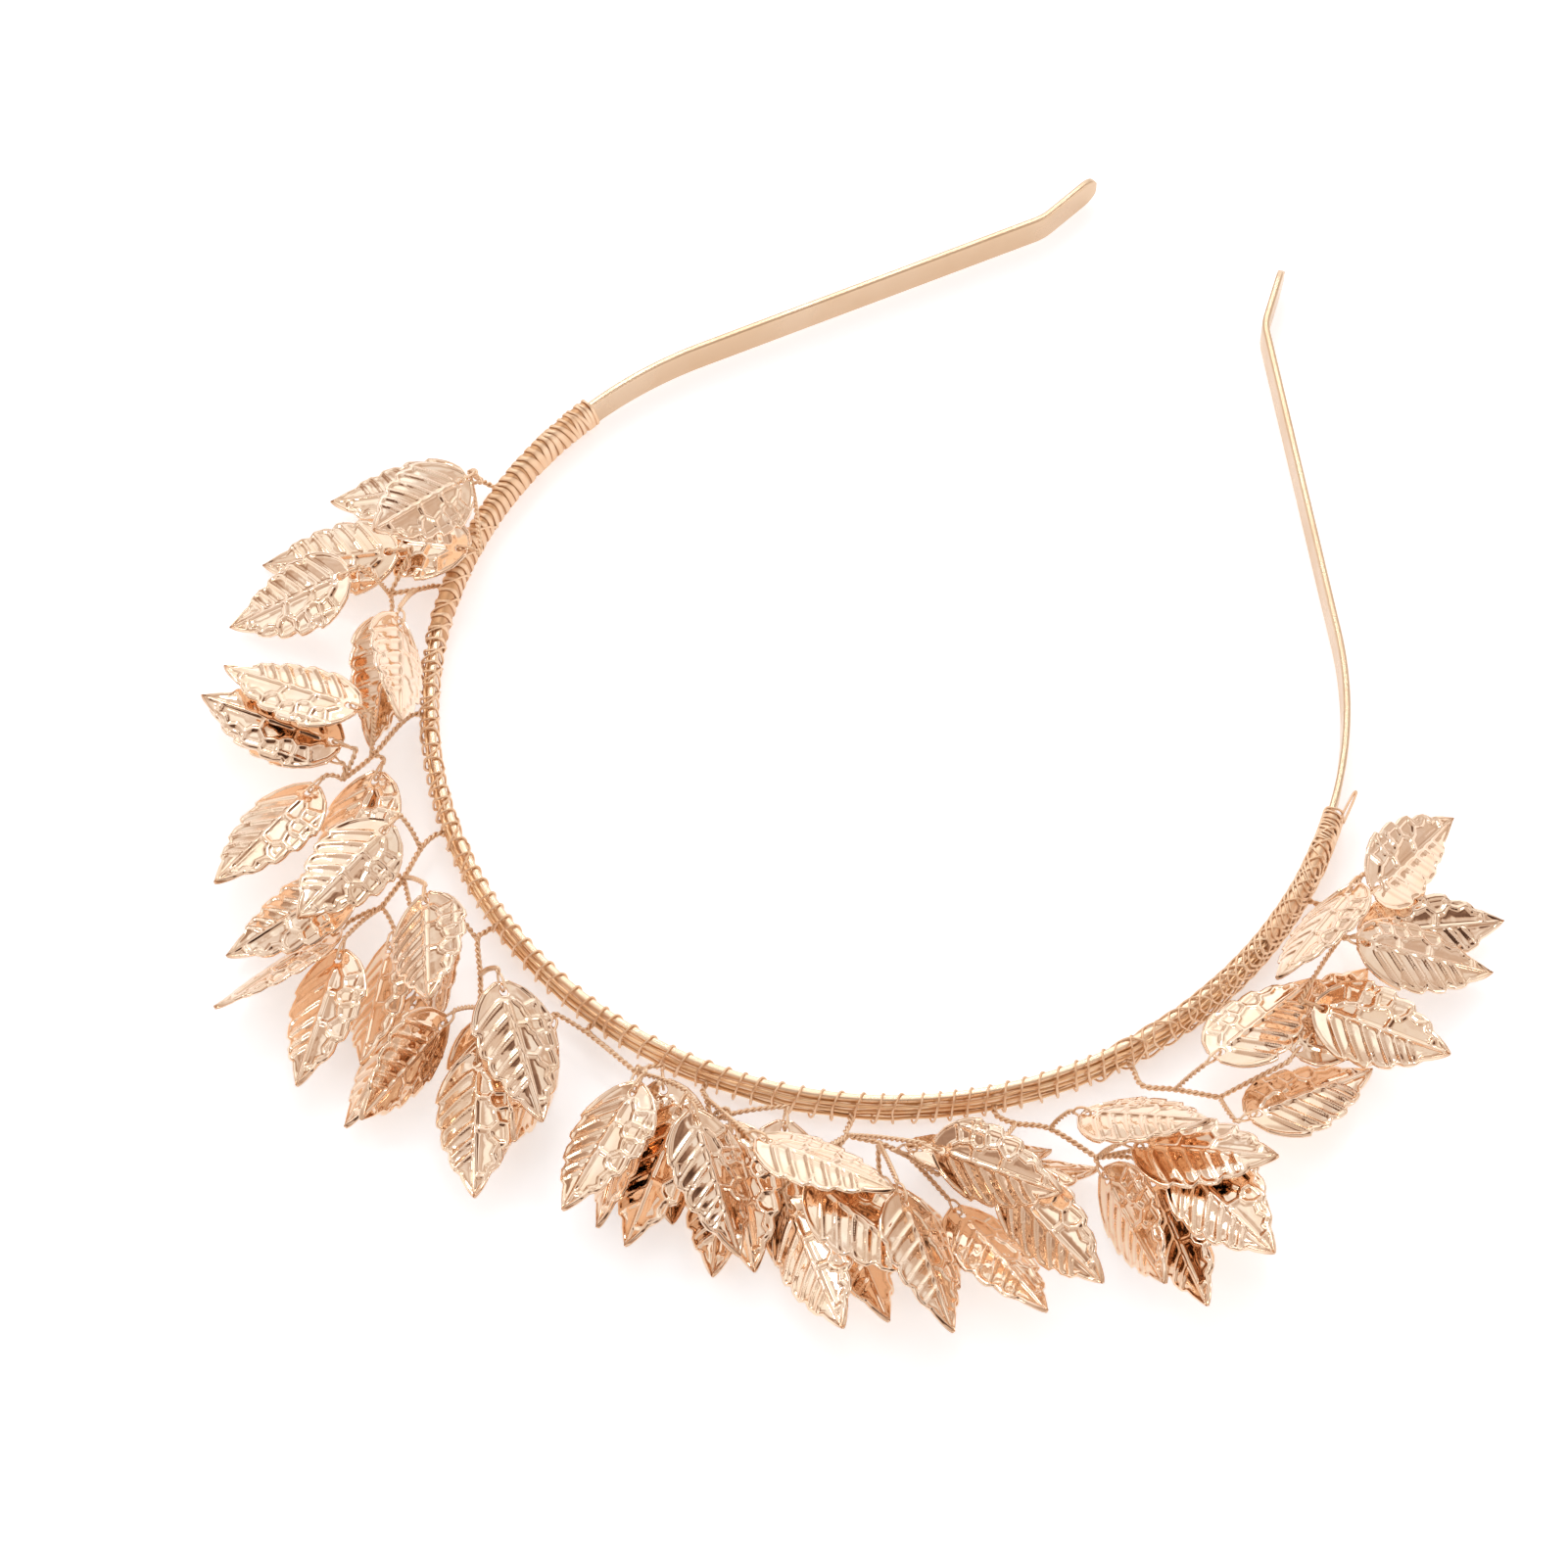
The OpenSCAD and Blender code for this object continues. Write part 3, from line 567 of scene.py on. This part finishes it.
CELLS = np.array((  # cell, along, across, size: the long ones are chains of two to four
    (1, 10.3, 0.9, 0.9), (1, 11.8, 1.3, 1.3), (1, 13.3, 1.2, 1.2), (1, 14.7, 0.8, 0.8),
    (2, 5.9, 0.9, 0.7), (2, 7.2, 1.2, 1.1), (2, 8.1, 1.4, 1.3), (3, 2.6, 0.9, 0.6),
    (3, 3.9, 1.1, 0.9), (4, 9.8, 3.1, 1.0), (5, 7.4, 3.6, 0.8), (6, 5.3, 3.0, 0.9),
    (7, 3.3, 3.0, 0.8), (8, 1.5, 2.3, 0.8), (9, 12.6, 3.2, 0.8), (10, 9.7, 4.7, 0.4),
    (11, 7.4, 5.2, 0.4), (12, 5.3, 4.7, 0.7), (13, 3.3, 4.6, 0.6), (14, 16.3, 0.8, 0.5),
    (15, 14.9, 2.3, 0.4)))
VEIN, VEIN_H, RIB_H, SWELL_H = 0.26, 0.24, 0.1, 0.035  # half the width, and the heights
SUNK = 0.12  # how far the flats lie under the plain sheet
# where the painted dark reflection at the leaf's point begins
DARK_TIP_FROM = 17.0


def to_left_veins(x, y):
    """Distance from each point to the nearest vein of the left half. The cells are those of a
    power diagram: a point is in the cell for which its distance squared less the size squared
    is least, and the vein between two cells is where those are equal."""
    far = (x[..., None] - CELLS[:, 1]) ** 2 + (y[..., None] - CELLS[:, 2]) ** 2 \
        - CELLS[:, 3] ** 2
    own = np.argmin(far, -1)
    others = np.where(CELLS[:, 0] == CELLS[own, 0][..., None], np.inf, far)
    next_one = np.argmin(others, -1)
    apart = np.hypot(CELLS[own, 1] - CELLS[next_one, 1], CELLS[own, 2] - CELLS[next_one, 2])
    return (np.min(others, -1) - np.min(far, -1)) / (2 * apart)


def stamping(x, y, w):
    """Height of the stamping over the plain sheet, and a mask of painted shade with copper tone
    at each point: some along the foot of each vein, painted shade there, and most at the
    leaf's point, a painted dark reflection.
    Midrib, margin and veins are ridges, bells across; between them the sheet is flat and
    swells a little. On the right the veins are slanting lines, which leaves a row of bars; on
    the left they part long panels by the midrib from pebbles outside them."""
    side = np.abs(y)
    lane = x - BAR_SLANT * side - 0.035 * side ** 2
    to_bar = np.min(np.abs(lane[..., None] - BAR_VEINS), -1) * 0.82
    to_vein = np.where(y < 0, to_bar, to_left_veins(x, side))
    to_rib = side / (1.25 - 0.5 * np.clip(x / LEAF_LEN, 0, 1))
    to_rim = np.abs(0.85 * (w - side) - 0.24)
    clear = np.clip((np.hypot(x, 1.2 * y) - 1.3) / 0.8, 0, 1)
    # painted dark reflection towards the leaf's point, in copper tone
    point = 1.6 * np.clip((x - DARK_TIP_FROM) / 1.3, 0, 1)
    near = [0.9 * to_vein, to_rib, to_rim]
    nearest = -0.16 * np.log(sum(np.exp(-gap / 0.16) for gap in near))
    ridge = np.exp(-(np.clip(nearest, 0, None) / VEIN) ** 2)
    rib = np.exp(-(to_rib / VEIN) ** 2)
    swell = 1 - np.exp(-(nearest / 0.75) ** 2)
    # painted shade along the foot of each vein, in copper tone
    foot = np.exp(-((nearest - 0.36) / 0.13) ** 2)
    kept = np.where(to_rim < to_rib, 1, clear)
    height = VEIN_H * ridge * kept + RIB_H * rib * clear + SWELL_H * swell * clear - SUNK
    return height, foot * clear + point


def leaf_sheet():
    """The stamped leaf before it is placed: a grid along the leaf and across it from margin
    to margin. The grid's block at the hole is left out, and the square rings round it are
    drawn in to ovals. The underside has every second line of the grid and a weaker relief,
    and triangles join it to the upper side at the rim and in the hole."""
    x = np.linspace(-0.07, 1, ALONG + 1) * LEAF_LEN
    for key in MARGIN[4:-1, 0] * LEAF_LEN:
        x[np.argmin(np.abs(x - key))] = key
    x[:3], x[2:11] = np.linspace(x[0], -HOLE[0], 3), np.linspace(-HOLE[0], HOLE[0], 9)
    v = np.arange(-ACROSS, ACROSS + 1) / ACROSS
    xx, vv = np.meshgrid(x, v, indexing="ij")
    a, b = HOLE[0], HOLE[1] / ACROSS
    px, pv = xx / a, vv / b
    m = np.maximum(np.abs(px), np.abs(pv))
    draw = m / np.maximum(np.hypot(px, pv), 1e-6)
    mix = np.clip(2 - m, 0, 1) * (m > 0.99)
    scale = 1 - mix + mix * draw
    xx, vv = xx * scale, vv * scale
    w = np.interp(xx, MARGIN[:, 0] * LEAF_LEN, MARGIN[:, 1] * LEAF_HALF)
    yy = vv * w
    lift, painted_shade_and_copper = stamping(xx, yy, w)
    sheet = 0.22 * np.sin(np.pi * np.clip(np.abs(vv), 0, 1)) * np.clip(xx / 5, 0, 1) \
        - CURL * np.clip((xx / LEAF_LEN - 0.2) / 0.8, 0, None) ** 2 \
        - CUP * (np.sqrt(yy ** 2 + 0.16) - 0.4) / LEAF_HALF * 1.05
    top = np.stack([xx, yy, sheet + lift], -1)
    under = np.stack([xx, yy, sheet + 0.6 * lift - SHEET], -1)[::2, ::2]
    count, wide, under_wide = top[..., 0].size, len(v), under.shape[1]

    def blocks(step):
        """Corners of the grid's squares outside the hole, for every step-th line."""
        i, j = np.meshgrid(np.arange(0, ALONG, step), np.arange(0, wide - 1, step), indexing="ij")
        solid = (i < 2) | (i >= 10) | (j < ACROSS - HOLE[1]) | (j >= ACROSS + HOLE[1])
        return i[solid], j[solid]

    def beneath(ids):
        """Number of the underside's point below a point of the upper side."""
        return count + ids // wide // 2 * under_wide + ids % wide // 2

    i, j = blocks(1)
    c = i * wide + j
    upper = np.stack([c, c + wide, c + wide + 1, c + 1], -1)
    i, j = blocks(2)
    c = count + i // 2 * under_wide + j // 2
    lower = np.stack([c, c + 1, c + under_wide + 1, c + under_wide], -1)
    last = ALONG * wide
    edge = np.concatenate([
        np.arange(ALONG) * wide, last + np.arange(wide - 1),
        np.arange(ALONG, 0, -1) * wide + wide - 1, np.arange(wide - 1, 0, -1)])
    j0, j1 = ACROSS - HOLE[1], ACROSS + HOLE[1]
    ring = np.concatenate([
        np.arange(2, 10) * wide + j0, 10 * wide + np.arange(j0, j1),
        np.arange(10, 2, -1) * wide + j1, 2 * wide + np.arange(j1, j0, -1)])
    walls = []
    for ids, turn in ((edge, 1), (ring, -1)):
        a0, a1, a2 = ids[::2], ids[1::2], np.roll(ids[::2], -1)
        b0, b1 = beneath(a0), beneath(a2)
        for three in ((a0, b0, a1), (a1, b0, b1), (a1, b1, a2)):
            walls.append(np.stack(three, -1)[:, ::turn])
    quads, walls = np.concatenate([upper, lower]), np.concatenate(walls)
    used = np.unique(np.concatenate([quads.ravel(), walls.ravel()]))
    points = np.concatenate([top.reshape(-1, 3), under.reshape(-1, 3)])[used]
    painted_shade_of_sheet = np.concatenate([painted_shade_and_copper.ravel(), 0.5 * painted_shade_and_copper[::2, ::2].ravel()])[used]
    return points, np.searchsorted(used, quads), np.searchsorted(used, walls), painted_shade_of_sheet


rose, nodes, link, coat, shader = metal(
    "polished_rose_gold", (0.95, 0.73, 0.555), (0.93, 0.68, 0.48), (0.5, 0.25, 0.11),
    (0.04, 0.1), 240.0)
shader.inputs["Coat Weight"].default_value = 0.3
shader.inputs["Coat Roughness"].default_value = 0.03
# the mask mixes painted shade at the vein feet and a painted dark reflection at the point into the
# colour
painted_shade_and_copper = nodes.new("ShaderNodeAttribute")
painted_shade_and_copper.attribute_name = "painted_shade_and_copper"
shallow = nodes.new("ShaderNodeMath")
shallow.operation = "MULTIPLY"
shallow.inputs[1].default_value = 0.4
link(painted_shade_and_copper.outputs["Fac"], shallow.inputs[0])
link(shallow.outputs["Value"], coat.inputs["Painted Light Mix"])
# the sheet between the veins is not quite flat, and finely marked by the die
own_map = nodes.new("ShaderNodeUVMap")
own_map.uv_map = "along_across"
hammer = nodes.new("ShaderNodeTexNoise")
hammer.inputs["Scale"].default_value = 7.0
hammer.inputs["Detail"].default_value = 2.5
link(own_map.outputs["UV"], hammer.inputs["Vector"])
grit = nodes.new("ShaderNodeTexVoronoi")
grit.inputs["Scale"].default_value = 16.0
link(own_map.outputs["UV"], grit.inputs["Vector"])
soft = nodes.new("ShaderNodeBump")
soft.inputs["Strength"].default_value = 0.1
soft.inputs["Distance"].default_value = 0.00012
link(hammer.outputs["Fac"], soft.inputs["Height"])
fine = nodes.new("ShaderNodeBump")
fine.inputs["Strength"].default_value = 0.04
fine.inputs["Distance"].default_value = 0.00005
link(grit.outputs["Distance"], fine.inputs["Height"])
link(soft.outputs["Normal"], fine.inputs["Normal"])
link(fine.outputs["Normal"], shader.inputs["Normal"])

leaf_points, leaf_quads, leaf_walls, leaf_painted_shade = leaf_sheet()
for sprig, _, _ in STEMS:
    rows = LEAVES[LEAVES[:, 0] == sprig]
    count = len(leaf_points)
    places = np.concatenate([leaf[2:5] + leaf_points @ leaf_axes(leaf) for leaf in rows])
    step = (np.arange(len(rows)) * count)[:, None, None]
    own = np.tile(leaf_points[:, :2], (len(rows), 1)) + np.repeat(rows[:, 2:4], count, 0)
    piece = made_mesh("leaves_of_sprig_%d" % sprig, places, (leaf_quads + step).reshape(-1, 4),
                      (leaf_walls + step).reshape(-1, 3), rose,
                      values=[("painted_shade_and_copper", np.tile(leaf_painted_shade, len(rows)))], uv_mm=own)
    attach(piece, "root")
    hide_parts("leaves_%d" % sprig)


# Table: a wide matt white sheet under the crown, lit so evenly that it glows a
# little. It reaches to the horizon.
HALF_TABLE_M = 30
floor_mesh = bpy.data.meshes.new("table")
floor_mesh.from_pydata([(x * HALF_TABLE_M, y * HALF_TABLE_M, 0)
                        for x, y in ((-1, -1), (1, -1), (1, 1), (-1, 1))], [], [(0, 1, 2, 3)])
floor = bpy.data.objects.new("table", floor_mesh)
bpy.context.scene.collection.objects.link(floor)
paper = bpy.data.materials.new("white_paper")
paper.use_nodes = True
paper_shader = paper.node_tree.nodes["Principled BSDF"]
paper_shader.inputs["Base Color"].default_value = (0.86, 0.9, 0.94, 1)
paper_shader.inputs["Roughness"].default_value = 0.9
paper_shader.inputs["Specular IOR Level"].default_value = 0.1
paper_shader.inputs["Emission Color"].default_value = (1.0, 0.985, 0.98, 1)
paper_shader.inputs["Emission Strength"].default_value = 0.45
floor_mesh.materials.append(paper)


# Studio light: a white tent, warmer where it is dimmer, with small bright panels,
# dark gaps for the camera and the corners, and four lamps that make sparks on the
# metal. Beyond the table the tent's wall looks plain white.
PANELS = (  # towards x y z, cosine at which it ends and starts, light added
    ((-0.35, 0.75, 0.56), 0.90, 0.93, 0.42), ((-0.93, -0.28, 0.22), 0.965, 0.98, 0.5),
    ((-0.65, 0.31, 0.69), 0.96, 0.975, 0.4), ((-0.66, -0.52, 0.55), 0.975, 0.987, 0.5),
    ((-0.19, 0.10, 0.98), 0.975, 0.987, 0.45), ((0.80, 0.35, 0.49), 0.965, 0.98, 0.4),
    ((-0.32, 0.91, 0.26), 0.94, 0.97, 0.35), ((0.40, 0.65, 0.65), 0.97, 0.985, 0.2),
    ((0.26, -0.46, 0.85), 0.945, 0.965, -0.65), ((0.25, 0.49, 0.84), 0.978, 0.99, -0.55),
    ((-0.92, 0.22, 0.32), 0.975, 0.99, -0.3), ((-0.70, -0.64, 0.28), 0.98, 0.99, -0.3),
    ((0.75, -0.62, 0.25), 0.95, 0.97, -0.35))
DIMMED = (  # light, its colour
    (0.15, (1.0, 0.60, 0.44)), (0.55, (1.0, 0.73, 0.57)), (0.72, (1.0, 0.85, 0.76)),
    (0.84, (1.0, 0.93, 0.9)), (0.92, (1.0, 1.0, 1.0)), (1.0, (0.93, 0.97, 1.0)))
TENT_DIM, TENT_BRIGHT = 0.65, 0.92
world = bpy.data.worlds.new("studio")
bpy.context.scene.world = world
world.use_nodes = True
nodes, link = world.node_tree.nodes, world.node_tree.links.new
back = nodes["Background"]
where = nodes.new("ShaderNodeTexCoord")
clouds = nodes.new("ShaderNodeTexNoise")
clouds.inputs["Scale"].default_value = 3.2
clouds.inputs["Detail"].default_value = 2.0
link(where.outputs["Generated"], clouds.inputs["Vector"])
tent = nodes.new("ShaderNodeMapRange")
tent.inputs["From Min"].default_value, tent.inputs["From Max"].default_value = 0.35, 0.65
tent.inputs["To Min"].default_value = TENT_DIM
tent.inputs["To Max"].default_value = TENT_BRIGHT
link(clouds.outputs["Fac"], tent.inputs["Value"])
light = tent.outputs["Result"]
for towards, low, high, added in PANELS:
    facing = nodes.new("ShaderNodeVectorMath")
    facing.operation = "DOT_PRODUCT"
    facing.inputs[1].default_value = Vector(towards).normalized()
    link(where.outputs["Generated"], facing.inputs[0])
    inside = nodes.new("ShaderNodeMapRange")
    inside.interpolation_type = "SMOOTHSTEP"
    inside.inputs["From Min"].default_value = low
    inside.inputs["From Max"].default_value = high
    inside.inputs["To Max"].default_value = added
    link(facing.outputs["Value"], inside.inputs["Value"])
    total = nodes.new("ShaderNodeMath")
    link(inside.outputs["Result"], total.inputs[0])
    link(light, total.inputs[1])
    light = total.outputs["Value"]
link(light, back.inputs["Strength"])
warmth = nodes.new("ShaderNodeValToRGB")
for _ in DIMMED[2:]:
    warmth.color_ramp.elements.new(0.5)
for stop, (place, colour) in zip(warmth.color_ramp.elements, DIMMED):
    stop.position = place
    stop.color = (*colour, 1.0)
link(light, warmth.inputs["Fac"])
link(warmth.outputs["Color"], back.inputs["Color"])
wall = nodes.new("ShaderNodeBackground")
wall.inputs["Color"].default_value = (1, 1, 1, 1)
ray = nodes.new("ShaderNodeLightPath")
seen = nodes.new("ShaderNodeMixShader")
link(ray.outputs["Is Camera Ray"], seen.inputs["Fac"])
link(back.outputs["Background"], seen.inputs[1])
link(wall.outputs["Background"], seen.inputs[2])
link(seen.outputs["Shader"], nodes["World Output"].inputs["Surface"])


def small_lamp(name, place, size, power):
    """A square lamp at a place, turned to the crown."""
    lamp = bpy.data.lights.new(name, "AREA")
    lamp.shape = "RECTANGLE"
    lamp.size, lamp.size_y = size
    lamp.energy = power
    holder = bpy.data.objects.new(name, lamp)
    holder.location = place
    holder.rotation_euler = (Vector((0, -0.02, 0)) - holder.location).to_track_quat(
        "-Z", "Y").to_euler()
    bpy.context.scene.collection.objects.link(holder)


small_lamp("lamp_back", (-0.45, 0.75, 1.15), (0.25, 0.25), 1.6)
small_lamp("lamp_left", (-1.1, -0.3, 0.8), (0.15, 0.3), 0.9)
small_lamp("lamp_right", (1.1, 0.3, 0.7), (0.15, 0.3), 0.9)
small_lamp("lamp_front", (-0.35, -1.1, 0.9), (0.12, 0.12), 0.5)

view = bpy.context.scene.view_settings
view.view_transform = "Standard"
view.look = "None"
view.exposure = 0.0
view.gamma = 1.0
